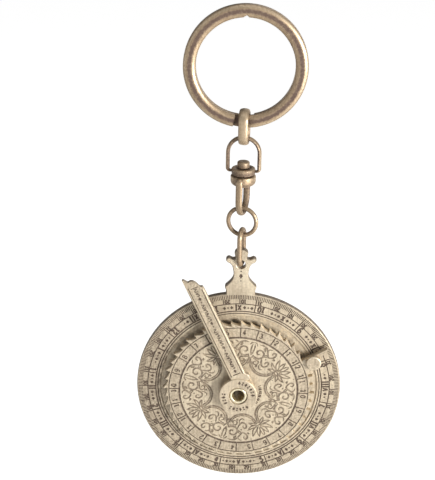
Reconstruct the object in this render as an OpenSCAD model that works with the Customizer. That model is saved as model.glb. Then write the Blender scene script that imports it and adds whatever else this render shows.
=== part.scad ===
// Nocturnal (star clock) on a swivelling key chain, hanging from its split ring.
// Origin at the middle of the split ring, +Z up, the dial facing -Y, everything at rest hanging down.

/* [Split ring] */
// Outside diameter of the split ring
ring_od = 25.4; // [24:0.1:32]
// Radial width of its flat wire
ring_band = 2.6; // [2.2:0.1:3]
// Thickness of one of its two coils
coil_t = 1.2; // [0.9:0.05:1.3]
// Depth of the bevels along the coils' outer faces
coil_bevel = 0.5; // [0.35:0.05:0.6]
// Width of those bevels
coil_bevel_w = 0.8; // [0.5:0.05:1]

/* [Connector link] */
// Inside radius of the link's bends
link_bend_r = 1.7; // [1.6:0.05:2]
// Radial thickness of the link
link_t = 0.9; // [0.8:0.05:1.3]
// Width of the link across its flat
link_w = 2.1; // [1.4:0.1:2.4]
// Straight length between its two bends
link_straight = 2.55; // [2.4:0.05:5]
// How far the link and the upper strap hang turned, clockwise from above
link_turn = 6; // [0:1:8]

/* [Swivel] */
// Thickness of the two U straps
strap_t = 0.85; // [0.7:0.05:1]
// Width of the straps
strap_w = 1.45; // [1:0.05:1.6]
// Inside radius of the straps' bends
strap_bend_r = 2.87; // [2.75:0.01:3.2]
// Straight leg of the upper strap
upper_leg = 4.66; // [4.5:0.02:6]
// Straight leg of the lower strap
lower_leg = 5.14; // [4.8:0.02:7]
// Thickness of the straps' turned-in feet
foot_t = 0.45; // [0.35:0.05:0.6]
// How far the upper strap's feet stand above the collar's lower face
foot_rise = 0.5; // [0.3:0.05:0.6]
// Diameter of the round eye in each foot
foot_eye_d = 3; // [2.8:0.1:3.4]
// Diameter of the upper collar
upper_collar_d = 5; // [4.6:0.1:5.3]
// Height of the upper collar
upper_collar_h = 1.4; // [1.3:0.1:2.2]
// Diameter of the lower collar
lower_collar_d = 5.3; // [4.8:0.1:5.5]
// Height of the lower collar
lower_collar_h = 2.15; // [1.6:0.05:2.6]
// Diameter of the rivet's shank
rivet_d = 1.6; // [1.2:0.1:1.8]
// Diameter of the rivet's head
rivet_head_d = 2.6; // [2.4:0.1:3]
// Height of the rivet's head
rivet_head_h = 1.4; // [0.8:0.1:1.6]
// How far the swivel's lower half and what hangs on it are turned, clockwise from above
swivel_turn = 14; // [0:1:16]

/* [Jump ring and throne link] */
// Outside diameter of the jump ring
jump_od = 7; // [6.6:0.1:8]
// Wire of the jump ring
jump_wire = 0.92; // [0.8:0.02:1]
// Wire of the link through the throne
throne_link_wire = 1.1; // [1:0.02:1.2]
// Inside radius of that link's bends
throne_link_bend_r = 1.2; // [1.2:0.02:1.4]
// Straight length between its bends
throne_link_straight = 4.19; // [4.1:0.01:6]

/* [Base plate] */
// Diameter of the calendar plate
plate_d = 45; // [44:0.5:48]
// Thickness of the plate
plate_t = 2; // [1.8:0.05:2.1]
// Height of the hanging hole above the middle of the plate
hang_h = 29.24; // [29:0.02:31]
// Diameter of the hanging hole
hang_hole_d = 2; // [2:0.02:2.2]
// Depth of the sunk floor inside the scale
floor_depth = 0.3; // [0.1:0.05:0.5]
// Turn of the calendar, where the first month line stands right of the top
calendar_turn = 9.6; // [0:0.1:30]

/* [Hour disc] */
// Radius at the roots of the teeth
disc_root_r = 15.65; // [15.5:0.05:15.9]
// Height of the full-hour teeth
hour_tooth = 1.05; // [0.6:0.05:1.2]
// Height of the half-hour teeth
half_tooth = 0.75; // [0.4:0.05:1]
// Thickness of the disc
disc_t = 1.39; // [1:0.01:1.5]
// Where the midnight pointer stands, right of the top
pointer_turn = 60.8; // [0:0.1:359]
// How far the pointer's tip reaches
pointer_r = 21.9; // [20:0.1:22]
// Diameter of the pointer's knob
knob_d = 3.2; // [2.6:0.1:3.4]
// Height of the knob above the disc
knob_h = 1; // [0.6:0.05:1.1]

/* [Index arm] */
// Length of the reading edge from the pivot
arm_len = 29.8; // [26:0.1:31]
// Width of the blade
arm_w = 3.6; // [3:0.05:4]
// Thickness of the blade
arm_t = 1; // [0.8:0.05:1.1]
// How much the hub stands above the blade
hub_rise = 0.25; // [0.15:0.05:0.35]
// Diameter of the hub
hub_d = 8.3; // [7.6:0.1:9]
// Where the reading edge stands, left of the top
arm_turn = 24.8; // [0:0.1:359]

/* [Eyelet and washers] */
// Sight hole through the eyelet
sight_d = 2.6; // [2:0.1:2.6]
// Outside of the eyelet's tube
eyelet_d = 3.1; // [3:0.02:3.3]
// Flange of the eyelet
flange_d = 3.7; // [3.6:0.1:4.2]
// Thickness of the flange
flange_t = 0.22; // [0.18:0.01:0.25]
// Washer between the plate and the disc
disc_washer_t = 0.62; // [0.5:0.02:0.8]
// Washer between the disc and the arm
arm_washer_t = 1.21; // [1.2:0.01:1.4]
// Washer under the clenched end
back_washer_t = 0.3; // [0.2:0.05:0.4]

/* [Fits] */
// Radial clearance of the turning fits
run_fit = 0.05; // [0.02:0.01:0.1]
// End play between turning faces
end_play = 0.04; // [0.02:0.01:0.06]
// Play that lets the upper strap rock on the connector link
rock_gap = 0.25; // [0.25:0.01:0.4]
// Play between the lower strap and the jump ring
swing_gap = 0.18; // [0.18:0.01:0.3]
// Play between the jump ring and the throne link
hook_gap = 0.12; // [0.12:0.01:0.3]

/* [Hidden] */
$fn = 64;
OLD_BRASS = [0.78, 0.72, 0.58];
CHAIN_BRASS = [0.5, 0.42, 0.3];
BRIGHT_BRASS = [0.85, 0.72, 0.35];
eps = 0.01;

// The split ring's coils: the gap between them, how far each runs, and where the front one starts
coil_gap = 0.06;
coil_span = 339;
coil_start = -80;

// Heights down the chain, each piece hanging on the one above
swivel_gap = 0.16;
hang_drop = 1.66;
ring_wire_z = -(ring_od - ring_band) / 2;
link_low_z = ring_wire_z - link_straight;
link_bar_z = link_low_z - link_bend_r - link_t / 2;
upper_arch_z = link_low_z - link_bend_r + rock_gap - strap_bend_r;
upper_foot_z = upper_arch_z - upper_leg;
lower_foot_z = upper_foot_z - swivel_gap;
lower_arch_z = lower_foot_z - lower_leg;
strap_bar_z = lower_arch_z - strap_bend_r - strap_t / 2;
jump_in_r = jump_od / 2 - jump_wire;
jump_z = strap_bar_z + strap_t / 2 + swing_gap - jump_in_r;
jump_low_z = jump_z - jump_in_r - jump_wire / 2;
throne_link_z = jump_low_z + jump_wire / 2 + hook_gap - throne_link_bend_r;
throne_link_low_z = throne_link_z - throne_link_straight;
hang_z = throne_link_low_z - hang_drop;
plate_z = hang_z - hang_h;

// Depths of the dial's layers, in front of the plate's front face
counterbore_depth = 0.4;
plate_front = plate_t / 2;
disc_back = disc_washer_t + end_play;
disc_face = disc_back + disc_t;
arm_back = disc_face + end_play + arm_washer_t + end_play;
arm_face = arm_back + arm_t;
hub_face = arm_face + hub_rise;
flange_back = hub_face - counterbore_depth + end_play;
flange_face = flange_back + flange_t;

// The engraving: line width and depth, and the radii of its rings
line_w = 0.2;
line_depth = 0.12;
tick_line_r = 20.1;
band_line_r = 18.35;
inner_line_r = 17.85;
scale_in_r = 17.35;
hour_line_r = 15.4;
hour_in_r = 13.2;
long_tick_r = 21.4;
months = 12;
hours = 24;

// Right half of the throne's outline: across, and up from the hanging hole
throne_half = [[3.15, -10], [3.15, -6.1], [3.35, -5.6], [3.35, -5.15], [2.75, -4.55], [2.2, -3.95],
               [1.8, -3.3], [1.6, -2.5], [1.7, -1.35], [1.95, -0.4], [2.4, 0.15], [2.9, 0.4], [3.25, 0.85],
               [3.15, 1.25], [2.6, 1.5], [1.9, 1.2], [1.4, 1.25], [1.25, 1.6], [1.47, 2.5], [1.1, 3.1],
               [0.4, 3.4]];

// The pointer's knob, across and along its tab
knob_x = 1.3;
knob_r_out = 17.9;

// A flat wire's section: t through, w wide, with round edges
module obround(t, w) {
    if (w > t) square([t, w - t], center = true);
    for (side = [-1, 1]) translate([0, side * (w - t) / 2]) circle(d = t);
}

// Half a turn of wire, bulging up, in the XZ plane, round the origin
module arch(r, t, w) {
    rotate([90, 0, 0]) rotate_extrude(angle = 180) translate([r + t / 2, 0]) obround(t, w);
}

// Two upright strands of an arch, hanging down from the origin
module strands(r, t, w, length) {
    for (side = [-1, 1])
        translate([side * (r + t / 2), 0, -length]) linear_extrude(length) obround(t, w);
}

// A closed oval link in the XZ plane; the origin is the middle of its upper bend
module oval_link(r, t, w, straight) {
    arch(r, t, w);
    strands(r, t, w, straight);
    translate([0, 0, -straight]) rotate([0, 180, 0]) arch(r, t, w);
}

// A washer with one rounded rim; its rounded side is up
module round_washer(d, h, bore, edge) {
    rotate_extrude() difference() {
        union() {
            square([d / 2 - edge, h]);
            square([d / 2, h - edge]);
            translate([d / 2 - edge, h - edge]) circle(edge);
        }
        if (bore > 0) translate([0, -h]) square([bore / 2, 3 * h]);
        translate([-d, -d]) square([2 * d, d]);
        translate([-d, -d]) square([d, 3 * d]);
    }
}

// Section of one coil: the bevelled face is at y = coil_t, the face to the other coil at y = 0
module coil_section() {
    half = ring_band / 2;
    translate([ring_od / 2 - half, 0])
        polygon([[-half, 0], [half, 0], [half, coil_t - coil_bevel], [half - coil_bevel_w, coil_t],
                 [coil_bevel_w - half, coil_t], [-half, coil_t - coil_bevel]]);
}

// The front coil, in the XZ plane
module coil() {
    translate([0, -coil_gap / 2, 0]) rotate([90, 0, 0]) rotate([0, 0, coil_start])
        rotate_extrude(angle = coil_span) coil_section();
}

// A short piece of the wire at an angle round the ring, moved back from its front place by shift
module coil_slice(angle, shift) {
    slice = 0.3;
    translate([0, shift - coil_gap / 2 - coil_t, 0]) rotate([0, -angle, 0])
        translate([ring_od / 2 - ring_band, 0, -slice / 2]) cube([ring_band, coil_t, slice]);
}

module split_ring() {
    notch = 0.7;
    color(CHAIN_BRASS) difference() {
        union() {
            coil();
            mirror([0, 1, 0]) coil();
            hull() {
                coil_slice(coil_start, 0);
                coil_slice(coil_start + coil_span - 360, coil_t + coil_gap);
            }
        }
        translate([0, -coil_t, ring_od / 2 - ring_band]) rotate([0, 45, 0])
            cube([notch, 2 * coil_t, notch], center = true);
    }
}

module connector_link() {
    color(CHAIN_BRASS) translate([0, 0, ring_wire_z]) rotate([0, 0, 90 - link_turn])
        oval_link(link_bend_r, link_t, link_w, link_straight);
}

// The straps' turned-in foot with its round eye, grown by play; its outer face is at z = 0
module strap_foot(play) {
    reach = strap_bend_r + strap_t / 2;
    translate([-reach, -strap_w / 2 - play, -play]) cube([2 * reach, strap_w + 2 * play, foot_t + 2 * play]);
    translate([0, 0, -play]) cylinder(d = foot_eye_d + 2 * play, h = foot_t + 2 * play);
}

// A U strap on a bored foot, standing on z = 0 in the XZ plane
module strap(leg, bore) {
    difference() {
        union() {
            translate([0, 0, leg]) {
                arch(strap_bend_r, strap_t, strap_w);
                strands(strap_bend_r, strap_t, strap_w, leg);
            }
            strap_foot(0);
        }
        translate([0, 0, -eps]) cylinder(d = bore, h = foot_t + 2 * eps);
    }
}

// A collar that sits over a strap's feet, standing on z = 0 with the feet at rise
module collar(d, h, bore, edge, rise) {
    difference() {
        round_washer(d, h, bore, edge);
        translate([0, 0, rise]) strap_foot(run_fit);
    }
}

module upper_strap() {
    color(CHAIN_BRASS) translate([0, 0, upper_foot_z + foot_rise]) rotate([0, 0, -link_turn])
        strap(upper_leg - foot_rise, rivet_d + 2 * run_fit);
}

module upper_collar() {
    color(CHAIN_BRASS) translate([0, 0, upper_foot_z]) rotate([0, 0, -link_turn])
        collar(upper_collar_d, upper_collar_h, rivet_d + 2 * run_fit, 0.25, foot_rise);
}

module lower_strap() {
    color(CHAIN_BRASS) translate([0, 0, lower_foot_z]) rotate([180, 0, 90 - swivel_turn])
        strap(lower_leg, rivet_d);
}

module lower_collar() {
    color(CHAIN_BRASS) translate([0, 0, lower_foot_z]) rotate([180, 0, 90 - swivel_turn])
        collar(lower_collar_d, lower_collar_h, rivet_d, 0.7, 0);
}

module swivel_rivet() {
    tail_d = 2.3;
    tail_h = 0.5;
    head_z = upper_foot_z + upper_collar_h + end_play;
    tail_z = lower_foot_z - lower_collar_h;
    color(CHAIN_BRASS) {
        translate([0, 0, head_z]) round_washer(rivet_head_d, rivet_head_h, 0, 0.35);
        translate([0, 0, tail_z]) cylinder(d = rivet_d, h = head_z - tail_z + eps);
        translate([0, 0, tail_z]) rotate([180, 0, 0]) round_washer(tail_d, tail_h, 0, 0.25);
    }
}

module jump_ring() {
    color(CHAIN_BRASS) translate([0, 0, jump_z]) rotate([90, 0, -swivel_turn])
        rotate_extrude() translate([jump_in_r + jump_wire / 2, 0]) circle(d = jump_wire);
}

module throne_link() {
    color(CHAIN_BRASS) translate([0, 0, throne_link_z]) rotate([0, 0, 90 - swivel_turn])
        oval_link(throne_link_bend_r, throne_link_wire, throne_link_wire, throne_link_straight);
}

// Stands a flat outline up facing -Y on the dial's axis, from depth back to depth front
module layer(back, front) {
    translate([0, -plate_front - back, plate_z]) rotate([90, 0, 0]) linear_extrude(front - back) children();
}

// Turns a profile about the dial's axis; its y is the depth in front of the plate's front face
module turned() {
    translate([0, -plate_front, plate_z]) rotate([90, 0, 0]) rotate_extrude() children();
}

// Throne outline: a foot, a waist, two drooping ears and a knob, mirrored about the middle
module throne_outline() {
    right = [for (p = throne_half) [p[0], p[1] + hang_h]];
    left = [for (i = [len(right) - 1 : -1 : 0]) [-right[i][0], right[i][1]]];
    polygon(concat(right, left));
}

// Section of the plate: a bevelled rim, a scale band with grooves and a sunk floor
module plate_section() {
    r = plate_d / 2;
    bore_r = eyelet_d / 2;
    back_bevel = 0.6;
    front_bevel = 0.15;
    floor_r = scale_in_r - 0.25;
    difference() {
        polygon([[bore_r, -plate_t], [r - back_bevel, -plate_t], [r, back_bevel - plate_t], [r, -front_bevel],
                 [r - front_bevel, 0], [scale_in_r, 0], [floor_r, -floor_depth], [bore_r, -floor_depth]]);
        for (groove = [tick_line_r, band_line_r, inner_line_r])
            translate([groove - line_w / 2, -line_depth]) square([line_w, 2 * line_depth]);
    }
}

// One radial groove of the calendar, from r_in to the ends of the long ticks
module calendar_line(r_in) {
    translate([-line_w / 2, r_in]) square([line_w, long_tick_r - r_in]);
}

module base_plate() {
    color(OLD_BRASS) difference() {
        union() {
            turned() plate_section();
            difference() {
                layer(-plate_t, 0) throne_outline();
                layer(-3 * plate_t, 2 * plate_t) circle(plate_d / 2 - 1);
            }
        }
        layer(-3 * plate_t, 2 * plate_t) translate([0, hang_h]) circle(d = hang_hole_d);
        layer(-line_depth, 1) rotate(-calendar_turn) {
            for (i = [0 : months - 1]) rotate(-i * 360 / months) calendar_line(band_line_r);
            for (i = [0 : 3 * months - 1]) rotate(-i * 120 / months) calendar_line(tick_line_r);
        }
    }
}

module ring_washer(bore, outer, back, front) {
    turned() translate([bore / 2, back]) square([(outer - bore) / 2, front - back]);
}

module disc_washer() {
    disc_washer_d = 9;
    color(OLD_BRASS) ring_washer(eyelet_d + 2 * run_fit, disc_washer_d, -floor_depth, disc_washer_t);
}

// Saw teeth round the disc, a tall one on each hour and a low one on each half hour
function tooth_height(i) = i % 2 == 0 ? hour_tooth : half_tooth;
function tooth_point(i, part, reach) =
    let (angle = -(i + part) * 180 / hours, r = disc_root_r + tooth_height(i) * reach)
    [r * sin(-angle), r * cos(angle)];
function tooth(i) = [tooth_point(i, 0, 0), tooth_point(i, 0, 1), tooth_point(i, 0.22, 0.62),
                     tooth_point(i, 0.5, 0.28), tooth_point(i, 0.8, 0.05)];
function ring_of_teeth() = [for (i = [0 : 2 * hours - 1]) each tooth(i)];

module pointer_tab() {
    polygon([[0, 14.5], [0, pointer_r], [0.3, pointer_r], [1, 20.3], [2, 19.3], [2.85, 18.2],
             [2.95, 16.6], [3.4, 14.5]]);
}

module hour_disc() {
    color(OLD_BRASS) difference() {
        layer(disc_back, disc_face) rotate(-pointer_turn) difference() {
            union() {
                polygon(ring_of_teeth());
                pointer_tab();
            }
            circle(d = eyelet_d + 2 * run_fit);
            translate([knob_x, knob_r_out]) circle(d = knob_d / 2);
        }
        for (groove = [hour_line_r, hour_in_r])
            turned() translate([groove - line_w, disc_face - line_depth]) square([line_w, 2 * line_depth]);
        for (i = [0 : hours - 1]) layer(disc_face - line_depth, disc_face + 1)
            rotate(-pointer_turn - i * 360 / hours)
                translate([-line_w / 2, hour_in_r]) square([line_w, hour_line_r - hour_in_r - line_w]);
    }
}

module pointer_knob() {
    edge = 0.2;
    color(OLD_BRASS) translate([0, -plate_front, plate_z]) rotate([90, 0, 0]) rotate(-pointer_turn)
        translate([knob_x, knob_r_out, 0]) {
            translate([0, 0, disc_back]) cylinder(d = knob_d / 2, h = disc_t);
            translate([0, 0, disc_face]) round_washer(knob_d, knob_h, 0, edge);
        }
}

module arm_washer() {
    back = disc_face + end_play;
    color(OLD_BRASS) ring_washer(eyelet_d + 2 * run_fit, hub_d - 1, back, back + arm_washer_t);
}

// Blade outline: the reading edge lies on x = 0 and runs through the pivot
module arm_outline() {
    tip = [[0, 0], [0.3, 0], [0.87, -0.85], [1.5, -0.8], [2.1, -1.1], [2.6, -1.9], [2.87, -2.6],
           [arm_w - 0.1, -2.95], [arm_w, -3.4]];
    root = [[arm_w, 4.4], [arm_w + 0.6, 3.9], [arm_w + 0.6, 3], [arm_w, 0]];
    polygon(concat([[0, 0]], [for (p = tip) [p[0], arm_len + p[1]]], root));
}

module index_arm() {
    panel_edge = 0.75;
    panel_depth = 0.15;
    panel_start = hub_d / 2 + 0.6;
    panel_end = arm_len - 4.4;
    color(OLD_BRASS) difference() {
        union() {
            layer(arm_back, arm_face) rotate(arm_turn) arm_outline();
            layer(arm_back, hub_face) circle(d = hub_d);
        }
        layer(arm_back - 1, hub_face + 1) circle(d = eyelet_d + 2 * run_fit);
        layer(hub_face - counterbore_depth, hub_face + 1) circle(d = flange_d + 0.8);
        layer(arm_face - panel_depth, hub_face + 1) rotate(arm_turn)
            translate([panel_edge, panel_start])
                square([arm_w - 2 * panel_edge, panel_end - panel_start]);
    }
}

module sight_eyelet() {
    back_flange_d = 4.2;
    tube_back = -plate_t - back_washer_t;
    color(BRIGHT_BRASS) {
        ring_washer(sight_d, eyelet_d, tube_back - flange_t, flange_face);
        ring_washer(sight_d, flange_d, flange_back, flange_face);
        ring_washer(sight_d, back_flange_d, tube_back - flange_t, tube_back);
    }
}

module back_washer() {
    back_washer_d = 6;
    color(OLD_BRASS) ring_washer(eyelet_d, back_washer_d, -plate_t - back_washer_t, -plate_t);
}

split_ring();
connector_link();
upper_strap();
upper_collar();
swivel_rivet();
lower_collar();
lower_strap();
jump_ring();
throne_link();
base_plate();
disc_washer();
hour_disc();
pointer_knob();
arm_washer();
index_arm();
sight_eyelet();
back_washer();
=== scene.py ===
"""Looks of the nocturnal key ring. Pieces are drawn in millimetres; the stage and lights are in metres."""

import math

import bmesh
import bpy
from mathutils import Matrix, Vector
from mathutils.geometry import delaunay_2d_cdt


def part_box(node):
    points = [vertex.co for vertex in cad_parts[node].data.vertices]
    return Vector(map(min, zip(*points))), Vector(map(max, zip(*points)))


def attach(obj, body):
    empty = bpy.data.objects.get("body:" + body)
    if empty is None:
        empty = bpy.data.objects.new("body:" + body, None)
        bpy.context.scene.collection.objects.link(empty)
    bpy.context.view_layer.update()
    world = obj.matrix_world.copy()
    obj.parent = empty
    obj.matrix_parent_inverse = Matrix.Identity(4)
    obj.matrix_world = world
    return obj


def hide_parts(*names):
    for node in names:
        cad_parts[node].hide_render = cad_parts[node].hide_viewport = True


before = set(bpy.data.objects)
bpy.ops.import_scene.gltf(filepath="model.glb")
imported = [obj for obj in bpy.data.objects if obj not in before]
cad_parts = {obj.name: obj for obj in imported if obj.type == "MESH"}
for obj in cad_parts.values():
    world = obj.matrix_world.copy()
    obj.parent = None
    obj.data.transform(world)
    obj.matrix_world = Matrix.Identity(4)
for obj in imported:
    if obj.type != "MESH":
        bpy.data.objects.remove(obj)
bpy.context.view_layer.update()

MM = 0.001
TAU = 2 * math.pi


def limits(node):
    low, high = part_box(node)
    return low / MM, high / MM


# ---------------------------------------------------------------- where the CAD puts things
plate_low, plate_high = limits("base_plate")
disc_low, disc_high = limits("hour_disc")
arm_low, arm_high = limits("index_arm")
eye_low, eye_high = limits("sight_eyelet")
jump_low, jump_high = limits("jump_ring")
DIAL_Z = (eye_low.z + eye_high.z) / 2
PLATE_FRONT = plate_low.y
PLATE_T = plate_high.y - plate_low.y
DISC_FACE = PLATE_FRONT - disc_low.y
KNOB_TOP = PLATE_FRONT - limits("pointer_knob")[0].y
HUB_FACE = PLATE_FRONT - arm_low.y
# Degrees clockwise: pointer and arm seen from the front, link and swivel from above
POINTER = 60.8
ARM_TURN = -24.8
LINK_TURN = 6
SWIVEL_TURN = 14


def dial(u, v, depth):
    """Across, up and in front of the plate's front face, about the dial's middle."""
    return (u, PLATE_FRONT - depth, DIAL_Z + v)


def upright(x, y, z):
    return (x, y, z)


def turned(angle):
    """Turns x, y clockwise by angle and keeps z."""
    c, s = math.cos(math.radians(angle)), math.sin(math.radians(angle))
    return lambda x, y, z: (x * c + y * s, y * c - x * s, z)


def clockwise(angle, r):
    a = math.radians(angle)
    return (r * math.sin(a), r * math.cos(a))


def turned_dial(angle):
    """The dial's frame turned clockwise by angle."""
    spin = turned(angle)
    return lambda u, v, depth: dial(*spin(u, v, depth))


# ---------------------------------------------------------------- meshes
class Shape:
    """One piece: points in mm with a tone each (above 0 dark, for patina and in places painted shade; below 0
    bright, for rubbed wear and in places painted highlight and painted light).
    """

    def __init__(self):
        self.points, self.tones, self.faces, self.flat = [], [], [], set()

    def ring(self, points, tone=0.0):
        start = len(self.points)
        self.points.extend(points)
        self.tones.extend(tone if isinstance(tone, list) else [tone] * len(points))
        return list(range(start, len(self.points)))

    def bridge(self, a, b, closed=True):
        n = len(a)
        for i in range(n if closed else n - 1):
            j = (i + 1) % n
            self.faces.append((a[i], a[j], b[j], b[i]))

    def make(self, name, body, nodes, slot, material, sharp=32):
        mesh = bpy.data.meshes.new(name)
        mesh.from_pydata([Vector(p) * MM for p in self.points], [], self.faces)
        mesh.polygons.foreach_set("use_smooth", [i not in self.flat for i in range(len(self.faces))])
        tone = mesh.attributes.new("tone", "FLOAT", "POINT")
        tone.data.foreach_set("value", self.tones)
        work = bmesh.new()
        work.from_mesh(mesh)
        bmesh.ops.remove_doubles(work, verts=work.verts, dist=4e-7)
        bmesh.ops.dissolve_degenerate(work, edges=work.edges, dist=1e-8)
        bmesh.ops.recalc_face_normals(work, faces=work.faces)
        work.to_mesh(mesh)
        work.free()
        soft = [face.use_smooth for face in mesh.polygons]
        mesh.set_sharp_from_angle(angle=math.radians(sharp))
        mesh.polygons.foreach_set("use_smooth", soft)
        mesh.materials.append(material)
        piece = bpy.data.objects.new(name, mesh)
        bpy.context.scene.collection.objects.link(piece)
        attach(piece, body)
        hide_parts(*nodes)


def arc(cx, cy, r, start, end, n):
    """Points on a circle, angles counter-clockwise from +x."""
    return [(cx + r * math.cos(math.radians(start + (end - start) * i / n)),
             cy + r * math.sin(math.radians(start + (end - start) * i / n))) for i in range(n + 1)]


def soften(loop, radius, steps):
    """Rounds the corners of a closed polyline."""
    out, n = [], len(loop)
    for i, p in enumerate(loop):
        here, before, after = Vector(p), Vector(loop[i - 1]), Vector(loop[(i + 1) % n])
        back, ahead = before - here, after - here
        cut = min(radius, 0.45 * back.length, 0.45 * ahead.length)
        a, b = here + back.normalized() * cut, here + ahead.normalized() * cut
        for k in range(steps + 1):
            t = k / steps
            out.append(tuple((1 - t) ** 2 * a + 2 * t * (1 - t) * here + t * t * b))
    return out


def smooth(points, steps=5, closed=False):
    """A Catmull-Rom curve through the points."""
    pts, out = [Vector(p) for p in points], []
    n = len(pts)
    if n < 3:
        return [tuple(p) for p in pts]
    for i in range(n if closed else n - 1):
        if closed:
            a, b, c, d = pts[i - 1], pts[i], pts[(i + 1) % n], pts[(i + 2) % n]
        else:
            b, c = pts[i], pts[i + 1]
            a = pts[i - 1] if i else b * 2 - c
            d = pts[i + 2] if i + 2 < n else c * 2 - b
        for k in range(steps):
            t = k / steps
            out.append(tuple(0.5 * (2 * b + (c - a) * t + (2 * a - 5 * b + 4 * c - d) * t * t
                                    + (3 * b - a - 3 * c + d) * t ** 3)))
    if not closed:
        out.append(tuple(pts[-1]))
    return out


def inset(loop, amounts):
    """Moves a counter-clockwise outline inwards by one amount per point."""
    out, n = [], len(loop)
    for i in range(n):
        a, p, b = Vector(loop[i - 1]), Vector(loop[i]), Vector(loop[(i + 1) % n])
        one, two = (p - a).normalized(), (b - p).normalized()
        left_one, left_two = Vector((-one.y, one.x)), Vector((-two.y, two.x))
        way = left_one + left_two
        if way.length < 1e-6:
            way = left_one
        way.normalize()
        stretch = min(1 / max(way.dot(left_one), 0.3), 2.2)
        out.append(tuple(p + way * amounts[i] * stretch))
    return out


def lathe(shape, profile, place, n=96, closed=True, middle=(0, 0)):
    """Turns (r, height, tone) points about an axis through middle."""
    rings = []
    for r, h, tone in profile:
        rings.append(shape.ring([place(middle[0] + r * math.cos(TAU * i / n),
                                       middle[1] + r * math.sin(TAU * i / n), h) for i in range(n)], tone))
    for a, b in zip(rings, rings[1:]):
        shape.bridge(a, b)
    if closed:
        shape.bridge(rings[-1], rings[0])


def sweep(shape, stations, closed=False):
    """Joins rings of points; stations are lists of (points, tone or tones)."""
    rings = [shape.ring(points, tone) for points, tone in stations]
    for a, b in zip(rings, rings[1:]):
        shape.bridge(a, b)
    if closed:
        shape.bridge(rings[-1], rings[0])
    else:
        shape.faces.append(tuple(rings[0]))
        shape.faces.append(tuple(reversed(rings[-1])))


# ---------------------------------------------------------------- engraving
def ribbon(points, width, taper=0.0):
    """Quads along a stroke; taper is the share of each end that narrows to a hair."""
    pts = [Vector(p) for p in points]
    lengths = [0.0]
    for a, b in zip(pts, pts[1:]):
        lengths.append(lengths[-1] + (b - a).length)
    total = lengths[-1] or 1.0
    sides = []
    for i, p in enumerate(pts):
        way = pts[min(i + 1, len(pts) - 1)] - pts[max(i - 1, 0)]
        if way.length < 1e-9:
            way = Vector((1, 0))
        way.normalize()
        s = lengths[i] / total
        w = width
        if taper:
            w *= min(1.0, 0.25 + 0.75 * min(s, 1 - s) / taper)
        off = Vector((-way.y, way.x)) * w / 2
        sides.append((p + off, p - off))
    return [[a[0], a[1], b[1], b[0]] for a, b in zip(sides, sides[1:])]


def circle_line(r, width, n=180):
    return ribbon([clockwise(360 * i / n, r) for i in range(n + 1)], width)


def spot(x, y, r, n=8):
    return [[Vector((x + r * math.cos(TAU * i / n), y + r * math.sin(TAU * i / n))) for i in range(n)]]


def lozenge(x, y, across, along, turn=0.0):
    c, s = math.cos(math.radians(turn)), math.sin(math.radians(turn))
    corners = [(across, 0), (0, along), (-across, 0), (0, -along)]
    return [[Vector((x + a * c - b * s, y + a * s + b * c)) for a, b in corners]]


# Each glyph: strokes (closed loop, open bend or straight line) in a box 0.6 wide and 1 high
GLYPHS = {
    "0": [("loop", [(.3, 1), (.1, .82), (.05, .5), (.1, .18), (.3, 0), (.5, .18), (.55, .5), (.5, .82)])],
    "1": [("line", [(.1, .76), (.33, 1), (.33, 0)]), ("line", [(.12, .02), (.54, .02)])],
    "2": [("bend", [(.06, .74), (.13, .93), (.3, 1), (.5, .9), (.52, .68), (.34, .38), (.07, .03)]),
          ("line", [(.05, .03), (.57, .03)])],
    "3": [("bend", [(.07, .87), (.28, 1), (.5, .88), (.48, .66), (.26, .54)]),
          ("bend", [(.26, .54), (.53, .42), (.54, .14), (.28, 0), (.04, .14)])],
    "4": [("line", [(.42, 0), (.42, 1), (.04, .3), (.58, .3)])],
    "5": [("line", [(.52, .98), (.14, .98), (.11, .56)]),
          ("bend", [(.11, .56), (.33, .63), (.54, .46), (.52, .14), (.28, 0), (.06, .12)])],
    "6": [("bend", [(.5, .92), (.3, 1), (.11, .78), (.05, .4), (.11, .1), (.3, 0), (.52, .13), (.53, .4),
                    (.33, .56), (.08, .4)])],
    "7": [("line", [(.05, .98), (.55, .98), (.23, 0)])],
    "8": [("loop", [(.3, 1), (.11, .9), (.12, .66), (.3, .54), (.48, .66), (.49, .9)]),
          ("loop", [(.3, .54), (.07, .42), (.07, .12), (.3, 0), (.53, .12), (.53, .42)])],
    "9": [("bend", [(.1, .08), (.3, 0), (.49, .22), (.55, .6), (.49, .9), (.3, 1), (.08, .87), (.07, .6),
                    (.27, .44), (.52, .6)])],
    "I": [("line", [(.3, 0), (.3, 1)]), ("line", [(.12, .02), (.48, .02)]),
          ("line", [(.12, .98), (.48, .98)])],
    "V": [("line", [(.02, 1), (.3, 0), (.58, 1)])],
    "X": [("line", [(.04, 0), (.56, 1)]), ("line", [(.56, 0), (.04, 1)])],
}
ADVANCE = {"I": 0.52, "1": 0.62}


def numeral_width(text, height):
    return sum(ADVANCE.get(c, 0.76) for c in text) * height


def numeral(text, height, width, place):
    """Strokes of a number centred on x = 0 with its foot on y = 0; place turns x, y into the dial's plane."""
    quads, x = [], -numeral_width(text, height) / 2
    for c in text:
        step = ADVANCE.get(c, 0.76)
        for kind, points in GLYPHS[c]:
            if kind != "line":
                points = smooth(points, 3, kind == "loop")
                if kind == "loop":
                    points = points + points[:1]
            flat = [place(x + (px + (step - 0.6) / 2) * height, py * height) for px, py in points]
            if kind == "line":
                for a, b in zip(flat, flat[1:]):
                    quads += ribbon([a, b], width)
            else:
                quads += ribbon(flat, width)
        x += step * height
    return quads


def tops_out(angle, foot_r):
    return lambda x, y: clockwise(angle + math.degrees(x / foot_r), foot_r + y)


def tops_in(angle, foot_r):
    return lambda x, y: clockwise(angle - math.degrees(x / foot_r), foot_r - y)


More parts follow.
